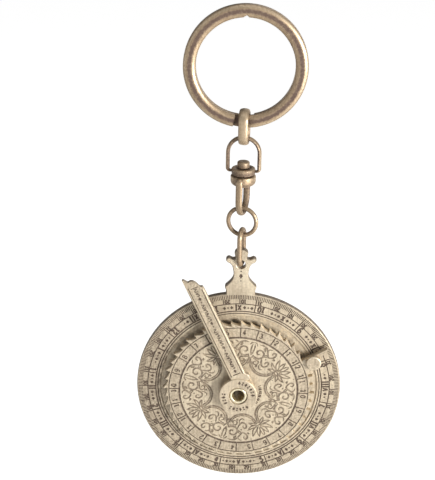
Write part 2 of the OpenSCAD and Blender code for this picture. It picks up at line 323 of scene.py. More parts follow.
def sound(corners):
    """A stroke's small polygon as counter-clockwise convex pieces, leaving out slivers."""
    corners = [Vector((p[0], p[1])) for p in corners]
    n = len(corners)
    bends = [(corners[i] - corners[i - 1]).cross(corners[(i + 1) % n] - corners[i]) for i in range(n)]
    pieces = [corners]
    if n == 4 and min(bends) < 1e-6 < max(bends):
        pieces = [corners[:3], [corners[0], corners[2], corners[3]]]
    kept = []
    for piece in pieces:
        area = sum(a.cross(b) for a, b in zip(piece, piece[1:] + piece[:1]))
        if abs(area) > 4e-4:
            kept.append(piece if area > 0 else piece[::-1])
    return kept


def engrave(shape, outline, holes, strokes, place, top, levels, tone=0.0, back=False):
    """A flat face at height top with strokes sunk into it.

    strokes are (level, quads) and levels (depth, tone); tone is a number or a function of the point.
    """
    points, faces, level_of = [], [], []
    cuts = [(piece, level) for level, quads in strokes for quad in quads for piece in sound(quad)]
    for loop, level in [(outline, 0)] + [(h, -1) for h in holes] + cuts:
        start = len(points)
        points.extend(Vector((p[0], p[1])) for p in loop)
        faces.append(list(range(start, len(points))))
        level_of.append(level)
    flat, _, tris, _, _, sources = delaunay_2d_cdt(points, [], faces, 1, 1e-5, True)
    depth = [(0.0, tone)] + levels
    made, edges = {}, {}

    def at(i, level):
        if (i, level) not in made:
            p = flat[i]
            shade = tone(p) if level == 0 and callable(tone) else depth[level][1]
            made[(i, level)] = shape.ring([place(p.x, p.y, top - depth[level][0])], shade)[0]
        return made[(i, level)]

    for tri, source in zip(tris, sources):
        found = [level_of[s] for s in source]
        if 0 not in source or -1 in found:
            continue
        level = max(found)
        corners = tuple(at(i, level) for i in tri)
        shape.flat.add(len(shape.faces))
        shape.faces.append(corners[::-1] if back else corners)
        for i in range(len(tri)):
            a, b = tri[i], tri[(i + 1) % len(tri)]
            edges.setdefault((min(a, b), max(a, b)), []).append((level, a, b))
    for sides in edges.values():
        if len(sides) == 2 and sides[0][0] != sides[1][0]:
            (la, a, b), (lb, _, _) = sides
            corners = (at(b, la), at(a, la), at(a, lb), at(b, lb))
            shape.faces.append(corners[::-1] if back else corners)


def wall(shape, loops, place):
    """Joins outlines given as (loop, height, tone)."""
    rings = [shape.ring([place(p[0], p[1], h) for p in loop], tone) for loop, h, tone in loops]
    for a, b in zip(rings, rings[1:]):
        shape.bridge(a, b)


# ---------------------------------------------------------------- materials
def node(tree, kind, **values):
    made = tree.nodes.new(kind)
    for key, value in values.items():
        if key in made.inputs:
            made.inputs[key].default_value = value
        else:
            setattr(made, key, value)
    return made


def mixed(tree, factor, a, b, blend="MIX"):
    mix = tree.nodes.new("ShaderNodeMix")
    mix.data_type = "RGBA"
    mix.blend_type = blend
    for socket, value in ((mix.inputs[0], factor), (mix.inputs[6], a), (mix.inputs[7], b)):
        if isinstance(value, bpy.types.NodeSocket):
            tree.links.new(value, socket)
        else:
            socket.default_value = value
    return mix.outputs[2]


def mapped(tree, value, low, high, to_low=0.0, to_high=1.0):
    made = node(tree, "ShaderNodeMapRange")
    for name, number in (("From Min", low), ("From Max", high), ("To Min", to_low), ("To Max", to_high)):
        made.inputs[name].default_value = number
    tree.links.new(value, made.inputs["Value"])
    return made.outputs["Result"]


def math_node(tree, operation, a, b=0.0):
    made = node(tree, "ShaderNodeMath", operation=operation)
    for socket, value in ((made.inputs[0], a), (made.inputs[1], b)):
        if isinstance(value, bpy.types.NodeSocket):
            tree.links.new(value, socket)
        else:
            socket.default_value = value
    return made.outputs[0]


def noise(tree, coords, scale, detail=3.0, stretch=None, turn=0.0):
    source = coords
    if stretch:
        way = node(tree, "ShaderNodeMapping")
        way.inputs["Scale"].default_value = stretch
        way.inputs["Rotation"].default_value = (0, math.radians(turn), 0)
        tree.links.new(coords, way.inputs["Vector"])
        source = way.outputs[0]
    made = node(tree, "ShaderNodeTexNoise", Scale=scale, Detail=detail)
    tree.links.new(source, made.inputs["Vector"])
    return made.outputs["Fac"]


def metal(name, base, dark, bright, rough, metallic, stain=0.5, scratch=0.06, mottle=0.18, grain=0.04):
    """Brass: stained by big noise, dark where the tone is above 0 (patina, and in places painted shade),
    bright where it is below (rubbed wear, and in places painted highlight and painted light).
    """
    material = bpy.data.materials.new(name)
    material.use_nodes = True
    tree = material.node_tree
    shader = tree.nodes["Principled BSDF"]
    coords = node(tree, "ShaderNodeTexCoord").outputs["Object"]
    tone = node(tree, "ShaderNodeAttribute", attribute_name="tone").outputs["Fac"]
    cloud = noise(tree, coords, 170.0, 4.0)
    fine = noise(tree, coords, 2200.0, 4.0)
    brushed = noise(tree, coords, 2600.0, 3.0, (1.0, 1.0, 0.07), 35.0)
    speck = noise(tree, coords, 3600.0, 2.0)
    color = mixed(tree, mapped(tree, cloud, 0.42, 0.68, 0.0, stain), base, dark)
    color = mixed(tree, mapped(tree, fine, 0.45, 0.75, 0.0, stain * 0.6), color, dark)
    color = mixed(tree, mapped(tree, brushed, 0.48, 0.7, 0.0, 0.26), color, bright)
    color = mixed(tree, mapped(tree, brushed, 0.5, 0.3, 0.0, 0.16), color, dark)
    wobble = math_node(tree, "ADD", tone, mapped(tree, fine, 0.3, 0.7, -mottle, mottle))
    # Tone above 0 mixes towards dark (patina and painted shade); tone below 0 mixes towards bright (rubbed
    # wear, painted highlight and painted light).
    color = mixed(tree, mapped(tree, wobble, 0.12, 0.95, 0.0, 0.93), color, dark)
    color = mixed(tree, mapped(tree, wobble, -0.15, -0.9, 0.0, 0.85), color, bright)
    tree.links.new(color, shader.inputs["Base Color"])
    gloss = math_node(tree, "ADD", mapped(tree, fine, 0.3, 0.7, rough - 0.07, rough + 0.08),
                      mapped(tree, tone, 0.1, 1.0, 0.0, 0.25))
    tree.links.new(gloss, shader.inputs["Roughness"])
    tree.links.new(mapped(tree, tone, 0.2, 1.0, metallic, 0.3), shader.inputs["Metallic"])
    height = math_node(tree, "ADD", math_node(tree, "MULTIPLY", brushed, 0.6),
                       math_node(tree, "MULTIPLY", speck, 0.4))
    bump = node(tree, "ShaderNodeBump", Strength=scratch, Distance=grain * MM)
    tree.links.new(height, bump.inputs["Height"])
    tree.links.new(bump.outputs[0], shader.inputs["Normal"])
    return material


FACE_BRASS = metal("AntiqueBrass", (0.65, 0.545, 0.40, 1), (0.08, 0.05, 0.038, 1), (0.90, 0.81, 0.63, 1),
                   0.43, 0.55, stain=0.2, scratch=0.5)
CHAIN_METAL = metal("ChainBronze", (0.44, 0.325, 0.21, 1), (0.10, 0.062, 0.05, 1), (0.72, 0.59, 0.42, 1),
                    0.42, 0.65, stain=0.15, scratch=0.25, mottle=0.2)
EYELET_METAL = metal("BrightBrass", (0.86, 0.70, 0.38, 1), (0.075, 0.045, 0.018, 1), (1.0, 0.92, 0.70, 1),
                     0.3, 0.85, stain=0.12, scratch=0.3)


# ---------------------------------------------------------------- split ring, links and swivel
RING_R = 11.4
SPLIT_Y = 0.63
HALF_T = 0.6
HALF_W = 1.3


def coil_side(outer):
    """One face of the wire, outer to inner edge, as (radial, depth); broadly rounded where outer is 1."""
    wide, deep = 0.07 + 0.75 * outer, 0.07 + 0.43 * outer
    side = []
    for k in range(5):
        t = k / 4
        curve = math.radians(90 * t)
        side.append((HALF_W - wide * (0.45 * t + 0.55 * (1 - math.cos(curve))),
                     deep * (1 - 0.45 * t - 0.55 * math.sin(curve))))
    flat = HALF_W - wide
    return side + [(flat * 0.5, 0.0), (0.0, 0.0), (-flat * 0.5, 0.0)] + [(-r, d) for r, d in reversed(side)]


def split_ring():
    """Two turns of flat wire that cross from front to back at the bottom, with a nick at the top."""
    shape, stations, angles = Shape(), [], []
    a = 259.0
    while a > -440.01:
        angles.append(a)
        a -= 0.5 if abs((a % 360) - 90) < 4 else 3.0
    for a in angles:
        back = min(max((-80 - a) / 21, 0.0), 1.0)
        back = back * back * (3 - 2 * back)
        y = SPLIT_Y * (2 * back - 1)
        near = [(r, -HALF_T + d) for r, d in coil_side(1 - back)]
        far = [(-r, HALF_T - d) for r, d in coil_side(back)]
        # Across each face, outer to inner edge: the bevels are lightened, partly rubbed wear and partly
        # painted highlight; the flat band between them is dark patina.
        tones = [0.2, -0.3, -0.5, -0.35, 0.5, 0.95, 1.0, 0.9, 0.45, 0.0, -0.2, -0.1, 0.1]
        c, s = math.cos(math.radians(a)), math.sin(math.radians(a))
        nick = max(0.0, 0.5 - math.radians(abs((a % 360) - 90)) * (RING_R - HALF_W))
        points = []
        for radial, deep in near + far:
            r = RING_R + radial
            if radial < -0.7:
                r = max(r, RING_R - HALF_W + nick)
            points.append((r * c, y + deep, r * s))
        stations.append((points, tones + tones))
    sweep(shape, stations)
    shape.make("split_ring_wire", "key_ring", ["split_ring"], "chain_bronze", CHAIN_METAL)


def section(t, w, n, power):
    """A rounded flat section, t along the bend's radius and w across it."""

    def swell(half, turn):
        return half * math.copysign(abs(turn) ** (2 / power), turn)

    return [(swell(t / 2, math.cos(TAU * i / n)), swell(w / 2, math.sin(TAU * i / n))) for i in range(n)]


def oval_path(r, straight, top_z, n=24):
    """Centre line of a closed oval link and its outward normals: (across, z, normal across, normal z)."""
    out = []
    for i in range(n + 1):
        a = math.pi * i / n
        out.append((r * math.cos(a), top_z + r * math.sin(a), math.cos(a), math.sin(a)))
    for i in range(1, 6):
        out.append((-r, top_z - straight * i / 6, -1.0, 0.0))
    for i in range(n + 1):
        a = math.pi + math.pi * i / n
        out.append((r * math.cos(a), top_z - straight + r * math.sin(a), math.cos(a), math.sin(a)))
    for i in range(1, 6):
        out.append((r, top_z - straight * (6 - i) / 6, 1.0, 0.0))
    return out


def oval_link(name, body, cad, r, straight, top_z, t, w, power, place, seam, worn):
    shape = Shape()
    stations = []
    for i, (across, z, na, nz) in enumerate(oval_path(r, straight, top_z)):
        shrink = 0.9 if i == seam else 1.0
        points, tones = [], []
        for s, b in section(t * shrink, w * shrink, 20, power):
            flat = across + na * s
            points.append(place(b, flat, z + nz * s))
            tones.append(0.6 if shrink < 1 else (0.25 - worn * (s > t * 0.3)) if s > -t * 0.2 else 0.5)
        stations.append((points, tones))
    sweep(shape, stations, closed=True)
    shape.make(name, body, [cad], "chain_bronze", CHAIN_METAL, 50)


def strap(name, body, cad, leg, foot_z, up, place):
    """A U strap with feet turned in under its collar; its crown is worn narrower, where a loop rides."""
    inner_r, half_t, w, foot_t, foot_r = 2.87, 0.425, 1.45, 0.45, 0.55
    reach = inner_r + half_t
    side = []
    for i in range(5):
        side.append((1.3 + (reach - foot_r - 1.3) * i / 4, foot_t / 2, 0.0, -1.0, foot_t))
    for i in range(1, 8):
        a = math.pi / 2 * i / 8
        side.append((reach - foot_r + foot_r * math.sin(a), foot_t / 2 + foot_r * (1 - math.cos(a)),
                     math.sin(a), -math.cos(a), foot_t + (2 * half_t - foot_t) * i / 8))
    rise = foot_t / 2 + foot_r
    for i in range(7):
        side.append((reach, rise + (leg - rise) * i / 6, 1.0, 0.0, 2 * half_t))
    path = list(side)
    for i in range(1, 25):
        a = math.pi * i / 25
        path.append((reach * math.cos(a), leg + reach * math.sin(a), math.cos(a), math.sin(a), 2 * half_t))
    for x, z, nx, nz, t in reversed(side):
        path.append((-x, z, -nx, nz, t))
    shape = Shape()
    stations = []
    for x, z, nx, nz, t in path:
        points, tones = [], []
        for s, b in section(t, w * (1 - 0.07 * max(0.0, nz)), 18, 2.0):
            across, height = x + nx * s, foot_z + up * (z + nz * s)
            points.append(place(across, b, height))
            tones.append((0.05 if s > 0 else 0.5) + 0.4 * (abs(b) / w * 2) ** 3)
        stations.append((points, tones))
    sweep(shape, stations)
    shape.make(name, body, [cad], "chain_bronze", CHAIN_METAL, 50)


def turned_piece(name, body, cad, profile, place, slot="chain_bronze", material=CHAIN_METAL, n=96, sharp=32):
    shape = Shape()
    lathe(shape, profile, place, n)
    shape.make(name, body, [cad], slot, material, sharp)


def soft_profile(profile, radius, steps=3):
    """Rounds the corners of a closed (r, height, tone) profile; every corner's points keep its tone."""
    rounded = soften([(r, h) for r, h, _ in profile], radius, steps)
    return [(r, h, profile[i // (steps + 1)][2]) for i, (r, h) in enumerate(rounded)]


split_ring()
LINK_PLACE, SWIVEL_PLACE = turned(LINK_TURN), turned(SWIVEL_TURN)
oval_link("connector_link_bent", "connector", "connector_link", r=2.15, straight=2.55, top_z=-RING_R,
          t=0.89, w=2.08, power=2.1, place=LINK_PLACE, seam=60, worn=0.7)

UPPER_FOOT = limits("upper_strap")[0].z
UPPER_COLLAR = limits("upper_collar")[0].z
LOWER_FOOT = limits("lower_strap")[1].z
strap("upper_strap_bent", "upper_swivel", "upper_strap", 4.16, UPPER_FOOT, 1, LINK_PLACE)
strap("lower_strap_bent", "lower_swivel", "lower_strap", 5.14, LOWER_FOOT, -1,
      lambda x, y, z: SWIVEL_PLACE(y, x, z))

collar = soft_profile([(0.85, 0.02, 0.7), (2.3, 0.02, 0.7), (2.44, 0.14, 0.75), (2.46, 0.6, 0.72),
                       (2.5, 1.16, 0.5), (2.45, 1.32, -0.35), (2.3, 1.4, -0.3), (1.72, 1.4, 0.35),
                       (1.6, 1.34, 0.7), (0.85, 1.34, 0.8)], 0.07)
turned_piece("upper_collar_turned", "upper_swivel", "upper_collar",
             [(r, UPPER_COLLAR + z, tone) for r, z, tone in collar], upright)
collar = soft_profile([(0.82, 0.02, 0.6), (2.5, 0.02, 0.0), (2.65, 0.16, -0.1), (2.65, 1.3, 0.35),
                       (2.5, 1.75, 0.4), (2.1, 2.1, 0.4), (1.75, 2.15, 0.5), (1.25, 2.15, 0.6),
                       (1.15, 2.1, 0.7), (0.82, 2.1, 0.8)], 0.2)
turned_piece("lower_collar_turned", "lower_swivel", "lower_collar",
             [(r, LOWER_FOOT - z, tone) for r, z, tone in collar], upright)

rivet_low, rivet_high = limits("swivel_rivet")
head, tail = rivet_high.z, rivet_low.z
rivet = [(0.001, head - 0.02, 0.25), (0.6, head, 0.25), (1.0, head - 0.01, 0.2), (1.15, head - 0.06, -0.1),
         (1.25, head - 0.16, 0.0), (1.3, head - 0.3, 0.4), (1.3, head - 1.2, 0.6), (1.25, head - 1.34, 0.7),
         (1.1, head - 1.4, 0.8), (0.82, head - 1.4, 0.8), (0.8, head - 1.45, 0.8), (0.8, tail + 0.5, 0.8),
         (1.1, tail + 0.5, 0.7), (1.15, tail + 0.38, 0.3), (1.08, tail + 0.14, 0.1), (0.8, tail + 0.03, 0.0),
         (0.001, tail, 0.0)]
turned_piece("swivel_rivet_turned", "lower_swivel", "swivel_rivet", rivet, upright, n=64, sharp=50)

JUMP_Z = (jump_low.z + jump_high.z) / 2
JUMP_R = 3.04
JUMP_WIRE = 0.46


def jump_ring():
    """A wire bent round until its ends all but meet, at 118 degrees."""
    shape, stations = Shape(), []
    for i in range(121):
        a = math.radians(118 + 1.0 + 358.0 * i / 120)
        r = JUMP_WIRE if 0 < i < 120 else JUMP_WIRE - 0.04
        points, tones = [], []
        for k in range(16):
            b = TAU * k / 16
            reach = JUMP_R + r * math.cos(b)
            points.append(SWIVEL_PLACE(reach * math.cos(a), r * math.sin(b), JUMP_Z + reach * math.sin(a)))
            tones.append(0.1 if math.cos(b) > -0.3 else 0.5)
        stations.append((points, tones if 0 < i < 120 else 0.8))
    sweep(shape, stations)
    shape.make("jump_ring_wire", "jump_loop", ["jump_ring"], "chain_bronze", CHAIN_METAL, 50)


jump_ring()
THRONE_LINK_R = 1.75
THRONE_WIRE = 1.1
oval_link("throne_link_bent", "throne_loop", "throne_link", r=THRONE_LINK_R, straight=4.19,
          top_z=limits("throne_link")[1].z - THRONE_LINK_R - THRONE_WIRE / 2,
          t=THRONE_WIRE, w=THRONE_WIRE, power=2.0, place=SWIVEL_PLACE, seam=58, worn=0.35)


# ---------------------------------------------------------------- base plate
PLATE_R = 22.5
HANG_V = 29.24
TICK_END_R = 22.2
TICK_R = 20.1
MONTH_R = 19.2
BAND_R = 18.35
FLOOR_R = 17.35


def throne_right():
    """Right half of the throne's outline, from the rim up to the top of its knob."""
    curve = smooth([(3.15, 23.14), (3.35, 23.64), (3.35, 24.09), (2.75, 24.69), (2.2, 25.29), (1.8, 25.94),
                    (1.6, 26.74), (1.7, 27.89), (1.95, 28.84), (2.4, 29.39), (2.9, 29.64), (3.25, 30.09),
                    (3.15, 30.49), (2.6, 30.74), (1.9, 30.44), (1.4, 30.49), (1.25, 30.84), (1.47, 31.74),
                    (1.1, 32.34), (0.4, 32.6), (0, 32.62)], 3)
    return [(3.15, 22.28), (3.15, 22.7)] + curve


def plate_outline():
    right = throne_right()
    left = [(-x, y) for x, y in reversed(right[:-1])]
    gap = math.degrees(math.asin(3.25 / PLATE_R))
    rim = arc(0, 0, PLATE_R, 90 + gap, 450 - gap, 344)
    return rim + right + left, len(rim)


def calendar_strokes():
    """The year runs anticlockwise: day ticks and numbers outside, month numbers between lozenges inside."""
    per_day = 360 / 365
    month_days = [31, 28, 31, 30, 31, 30, 31, 31, 30, 31, 30, 31]
    roman = ["I", "II", "III", "IV", "V", "VI", "VII", "VIII", "IX", "X", "XI", "XII"]
    day_h, month_h, roman_h, mark_r = 0.82, 1.2, 1.15, 19.22
    fine, deep, at = [], [], 9.6
    for number in (10, 9, 8, 7, 6, 5, 4, 3, 2, 1, 12, 11):
        days = month_days[number - 1]
        deep += ribbon([clockwise(at, BAND_R), clockwise(at, TICK_END_R)], 0.24)
        for day in range(1, days):
            line = at + (days - day) * per_day
            if day not in (10, 20):
                fine += ribbon([clockwise(line, 21.2), clockwise(line, TICK_END_R)], 0.19)
        for day in (10, 20, days):
            line = at + (days - day) * per_day
            if day != days:
                deep += ribbon([clockwise(line, TICK_R), clockwise(line, TICK_END_R)], 0.22)
            label = str(day)
            middle = line + math.degrees((numeral_width(label, day_h) / 2 + 0.25) / 20.6)
            deep += numeral(label, day_h, 0.28, tops_in(middle, 21.05))
        label = str(number)
        wide = numeral_width(label, month_h)
        deep += numeral(label, month_h, 0.38, tops_in(at + math.degrees((wide / 2 + 0.5) / MONTH_R), 19.83))
        room = days * per_day
        start = at + math.degrees((wide + 1.1) / MONTH_R)
        centre = (start + at + room) / 2
        label = roman[number - 1]
        half = numeral_width(label, roman_h) / 2
        deep += numeral(label, roman_h, 0.36, tops_in(centre, 19.8))
        space = math.radians(centre - start) * MONTH_R - half - 0.45
        for side in (-1, 1):
            for k in range(int(space / 0.8)):
                angle = centre + side * math.degrees((half + 0.65 + k * 0.8) / MONTH_R)
                if k % 2:
                    deep += spot(*clockwise(angle, mark_r), 0.2)
                else:
                    deep += lozenge(*clockwise(angle, mark_r), 0.38, 0.42, -angle)
        at += room
    deep += circle_line(TICK_R, 0.22) + circle_line(BAND_R, 0.26) + circle_line(17.85, 0.22)
    return fine, deep


def throne_strokes():
    return lozenge(0, 26.6, 0.42, 0.62) + spot(0, 25.5, 0.16) + spot(0, 27.7, 0.16)


def scale_tone(p):
    """The calendar band holds more patina than the throne; painted shade darkens it most on its left and
    painted light lightens it most at its top.
    """
    if p.length > 22.3:
        return -0.4
    way = p.normalized()
    # Painted shade on the band's left side and painted light at its top.
    left_shade = max(0.0, way.dot(Vector((-0.94, 0.34))))
    top_light = max(0.0, way.dot(Vector((0.26, 0.97))))
    return 0.22 + 0.25 * left_shade - 0.42 * top_light ** 2


def base_plate():
    shape = Shape()
    outline, rim_count = plate_outline()
    broad = [1.0 if i < rim_count else 0.8 for i in range(len(outline))]

    def rim(amount):
        return inset(outline, [amount * b for b in broad])

    front = rim(0.27)
    back = inset(outline, [0.55 if i < rim_count else 0.15 for i in range(len(outline))])
    back_soft = inset(outline, [0.17 if i < rim_count else 0.05 for i in range(len(outline))])
    fine, deep = calendar_strokes()
    hole = arc(0, 0, FLOOR_R, 0, 358, 179)
    hang = arc(0, HANG_V, 1.1, 0, 350, 35)
    strokes = [(1, fine), (2, deep), (2, throne_strokes())]
    engrave(shape, front, [hole, hang], strokes, dial, 0.0, [(0.11, 0.9), (0.14, 1.0)], scale_tone)
    back_t = -PLATE_T
    wall(shape, [(front, 0.0, -0.1), (rim(0.19), -0.06, -0.2), (rim(0.09), -0.15, 0.3),
                 (rim(0.02), -0.25, 0.7), (outline, -0.36, 0.75), (outline, back_t + 0.62, 0.6),
                 (back_soft, back_t + 0.2, 0.2), (back, back_t, -0.2)], dial)
    # The hanging hole
    levels = [(1.1, 0.0, -0.2), (1.03, -0.04, -0.4), (1.0, -0.12, 0.2),
              (1.0, back_t + 0.12, 0.4), (1.03, back_t + 0.04, -0.2), (1.1, back_t, 0.0)]
    wall(shape, [(arc(0, HANG_V, r, 0, 350, 35), h, tone) for r, h, tone in levels], dial)
    # The sunk floor, turned in fine steps, and the bore. The floor's light tones are painted light that lifts
    # the disc's shadow on it.
    sunk = -0.3
    floor = [(FLOOR_R, 0.0, -0.2), (FLOOR_R - 0.04, -0.05, 0.0), (FLOOR_R - 0.12, -0.27, 0.3),
             (FLOOR_R - 0.22, sunk, -0.1)]
    r = FLOOR_R - 0.4
    while r > 14.4:
        floor += [(r, sunk, -0.25), (r - 0.12, sunk - 0.015, -0.1), (r - 0.24, sunk, -0.25)]
        r -= 0.75
    floor += [(9.0, sunk, 0.5), (4.0, sunk, 0.5), (1.6, sunk, 0.5), (1.55, sunk - 0.05, 0.6),
              (1.55, back_t + 0.05, 0.6), (1.6, back_t, 0.4)]
    lathe(shape, floor, dial, 180, closed=False)
    # The back: flat, with turned circles
    bore = arc(0, 0, 1.6, 0, 358, 179)
    circles = []
    for r in (21.0, 20.6, 17.0, 16.7, 11.5, 6.6, 6.3):
        circles += circle_line(r, 0.16)
    engrave(shape, back, [hang, bore], [(1, circles)], dial, back_t, [(-0.07, 0.7)], back=True)
    shape.make("base_plate_engraved", "plate", ["base_plate"], "antique_brass", FACE_BRASS)


base_plate()


# ---------------------------------------------------------------- hour disc
ROOT_R = 15.65
HOUR_LINE_R = 15.3


def tooth_reach(i, part):
    """Height of saw tooth i over the roots, a share of the way along it: tall on hours, low on half hours."""
    return (1.05 if i % 2 == 0 else 0.75) * (1 - part) ** 1.9


def disc_outline():
    """Counter-clockwise outline in the pointer's own frame, where the pointer's edge is straight up."""
    tab = [(0, ROOT_R), (0, 18.0), (0, 20.0), (0, 21.86), (0.07, 21.9), (0.24, 21.88)]
    tab += smooth([(0.3, 21.75), (0.55, 20.95), (1.0, 20.3), (1.55, 19.75), (2.1, 19.2), (2.6, 18.55),
                   (2.85, 17.9), (2.92, 17.1), (2.98, 16.4), (3.18, 15.52)], 3)
    loop = list(tab)
    for i in range(1, 48):
        parts = (0, 0.0001, 0.1, 0.22, 0.36, 0.5, 0.65, 0.8) if i > 1 else (0.8,)
        for k, part in enumerate(parts):
            r = ROOT_R + (0 if k == 0 and i > 1 else tooth_reach(i, part))
            loop.append(clockwise((i + part) * 7.5, r))
    return list(reversed(loop))


def volute(angle, r, size, start, turns, hand, n, tail):
    """A tail, then a spiral centred at a clockwise angle and radius; start is its outer end's direction."""
    cx, cy = clockwise(angle, r)
    out = []
    for i in range(n + 1):
        t = i / n
        reach = size * (1 - t) ** 0.85 + 0.06
        way = math.radians(start + hand * 360 * turns * t)
        out.append((cx + reach * math.cos(way), cy + reach * math.sin(way)))
    return [clockwise(a, q) for a, q in tail] + out


def leaf(root, tip, width, bend, n=6):
    """Both edges of a pointed leaf between two plane points."""
    a, b = Vector(root), Vector(tip)
    way = b - a
    side = Vector((-way.y, way.x)).normalized()
    one, two = [], []
    for i in range(n + 1):
        t = i / n
        swell = width * math.sin(math.pi * t ** 0.8) * (1 - 0.25 * t)
        mid = a + way * t + side * bend * math.sin(math.pi * t)
        one.append(tuple(mid + side * swell))
        two.append(tuple(mid - side * swell))
    return one, two


BOLD = 1.5


def ornament():
    """One half sector: bouquet on angle 0, paired volutes on angle 45, mirrored round the disc."""
    lines = []

    def polar(points):
        return smooth([clockwise(a, r) for a, r in points], 4)

    # Double arcs that bulge to the hub
    centre = Vector(clockwise(22.5, 9.0))
    inwards = -centre.normalized()
    across = Vector((-inwards.y, inwards.x))
    for radius, reach, width in ((3.2, 74, 0.27), (2.78, 62, 0.17)):
        bow = [math.radians(reach * (i / 14 - 1)) for i in range(29)]
        points = [tuple(centre + (inwards * math.cos(t) + across * math.sin(t)) * radius) for t in bow]
        lines.append((points, width, 0.08))
    # Volutes beside the 45 degree junction, outer and inner
    centre = clockwise(35.5, 10.25)
    junction = clockwise(44.2, 8.9)
    outer_start = math.degrees(math.atan2(junction[1] - centre[1], junction[0] - centre[0]))
    outer = volute(35.5, 10.25, 1.32, outer_start, 1.3, -1, 26, tail=[(44.7, 8.1), (44.0, 8.6)])
    inner = volute(34.6, 7.95, 0.66, 100, 1.0, 1, 16, tail=[(43.5, 8.9), (40.0, 8.75)])
    lines += [(outer, 0.27, 0.1), (inner, 0.21, 0.12)]
    lines.append((polar([(44.9, 9.3), (43.4, 10.2), (43.2, 11.2), (44.2, 12.1)]), 0.2, 0.2))
    lines.append((polar([(40.6, 11.7), (42.5, 12.25), (44.9, 12.4)]), 0.2, 0.25))
    # Vine from the volute to the bouquet along the rim
    lines.append((polar([(39.5, 12.2), (35, 12.35), (30.5, 12.05), (27, 11.2), (23.5, 10.55), (19.8, 10.9),
                         (18.2, 11.7), (20.0, 12.25), (22.2, 11.95), (21.6, 11.45)]), 0.25, 0.1))
    lines.append((polar([(29.4, 11.5), (27.4, 12.2), (24.6, 12.5)]), 0.2, 0.3))
    # Inner scroll that fills the lobe
    lines.append((polar([(29.5, 9.5), (26.5, 8.5), (22.5, 8.0), (18.6, 8.2), (16.6, 8.9), (18.8, 9.55),
                         (21.6, 9.1), (20.4, 8.75)]), 0.24, 0.1))
    lines.append((polar([(26.5, 8.2), (26, 7.5), (21.5, 7.0), (17.5, 7.35)]), 0.19, 0.3))
    # Bouquet petals
    petals = [((1.0, 9.9), (5.6, 12.45), 0.4, -0.10), ((2.0, 9.8), (12.2, 11.95), 0.4, -0.22),
              ((2.8, 9.6), (16.2, 10.15), 0.32, -0.2), ((2.4, 9.2), (12.6, 8.35), 0.3, 0.15),
              ((1.2, 8.9), (4.6, 7.2), 0.26, 0.1)]
    for root, tip, width, bend in petals:
        lines += [(edge, 0.2, 0.15) for edge in leaf(clockwise(*root), clockwise(*tip), width, bend)]
    lines.append((polar([(0.7, 10.0), (1.5, 10.9), (1.2, 12.0), (0, 12.5)]), 0.19, 0.15))
    lines.append((polar([(0, 9.65), (2.6, 9.5), (3.0, 9.15), (0, 8.95)]), 0.2, 0.0))
    # Small leaves
    small = [((33, 12.0), (30.2, 11.2), 0.17), ((25.3, 10.7), (28.4, 9.9), 0.24),
             ((38.8, 8.9), (35.4, 8.7), 0.1), ((30.4, 6.9), (30.4, 7.7), 0.15),
             ((18.0, 10.7), (15.2, 11.1), 0.14)]
    for root, tip, width in small:
        lines += [(edge, 0.16, 0.25) for edge in leaf(clockwise(*root), clockwise(*tip), width, 0.06)]
    dots = [(24.2, 9.75, 0.18), (14.6, 12.45, 0.16), (32.2, 8.9, 0.15), (8.6, 7.9, 0.13)]
    quads = []
    for k in range(4):
        for hand in (1, -1):
            for points, width, taper in lines:
                quads += ribbon([turn_point(p, 90 * k, hand) for p in points], width * BOLD, taper)
            for a, r, size in dots:
                quads += spot(*turn_point(clockwise(a, r), 90 * k, hand), size, 7)
        quads += lozenge(*clockwise(45 + 90 * k, 9.6), 0.24, 0.45, -(45 + 90 * k))
        quads += lozenge(*clockwise(45 + 90 * k, 7.35), 0.2, 0.5, -(45 + 90 * k))
    return quads


def turn_point(p, angle, hand):
    """Mirrors a plane point where hand is -1, then turns it clockwise by angle."""
    return turned(angle)(p[0] * hand, p[1], 0)[:2]


def hour_disc():
    shape = Shape()
    place = turned_dial(POINTER)
    outline = disc_outline()
    thin = [0.035 if Vector(p).length > 20.6 else 0.1 for p in outline]
    front = inset(outline, thin)
    soft = inset(outline, [t / 2 for t in thin])
    bore = arc(0, 0, 1.65, 0, 352, 44)
    lines, numbers = [], []
    for j in range(24):
        angle = 15 * j
        lines += ribbon([clockwise(angle, 13.1), clockwise(angle, HOUR_LINE_R)], 0.25)
        label = str(12 - j % 12)
        numbers += numeral(label[-1], 1.05, 0.26, tops_out(angle + math.degrees(0.82 / 14.2), 13.75))
        if len(label) == 2:
            numbers += numeral("1", 1.05, 0.26, tops_out(angle - math.degrees(0.6 / 14.2), 13.75))
    rings = circle_line(HOUR_LINE_R, 0.2) + circle_line(13.0, 0.42)
    marks = []
    for k in range(15):
        a = 14 + k * 3.6
        marks += ribbon([clockwise(a, 4.5), clockwise(a + (1.6 if k % 3 else -1.6), 5.15)], 0.22)
    marks += spot(*clockwise(86, 4.9), 0.18)
    strokes = [(1, ornament()), (2, lines), (2, rings), (2, numbers), (2, marks)]
    engrave(shape, front, [bore], strokes, place, DISC_FACE, [(0.14, 0.66), (0.15, 0.9)],
            lambda p: 0.3 if p.length > 13 else -0.2)
    back = PLATE_FRONT - disc_high.y
    wall(shape, [(front, DISC_FACE, -0.1), (soft, DISC_FACE - 0.05, -0.5), (outline, DISC_FACE - 0.12, -0.4),
                 (outline, DISC_FACE - 0.5, 0.0), (outline, back + 0.1, 0.35), (soft, back, 0.4)], place)
    lathe(shape, [(1.65, DISC_FACE, 0.3), (1.6, DISC_FACE - 0.05, 0.3), (1.6, back + 0.05, 0.3),
                  (1.65, back, 0.3)], place, 45, closed=False)
    engrave(shape, soft, [bore], [], place, back, [], 0.4, back=True)
    shape.make("hour_disc_engraved", "hours", ["hour_disc"], "antique_brass", FACE_BRASS)


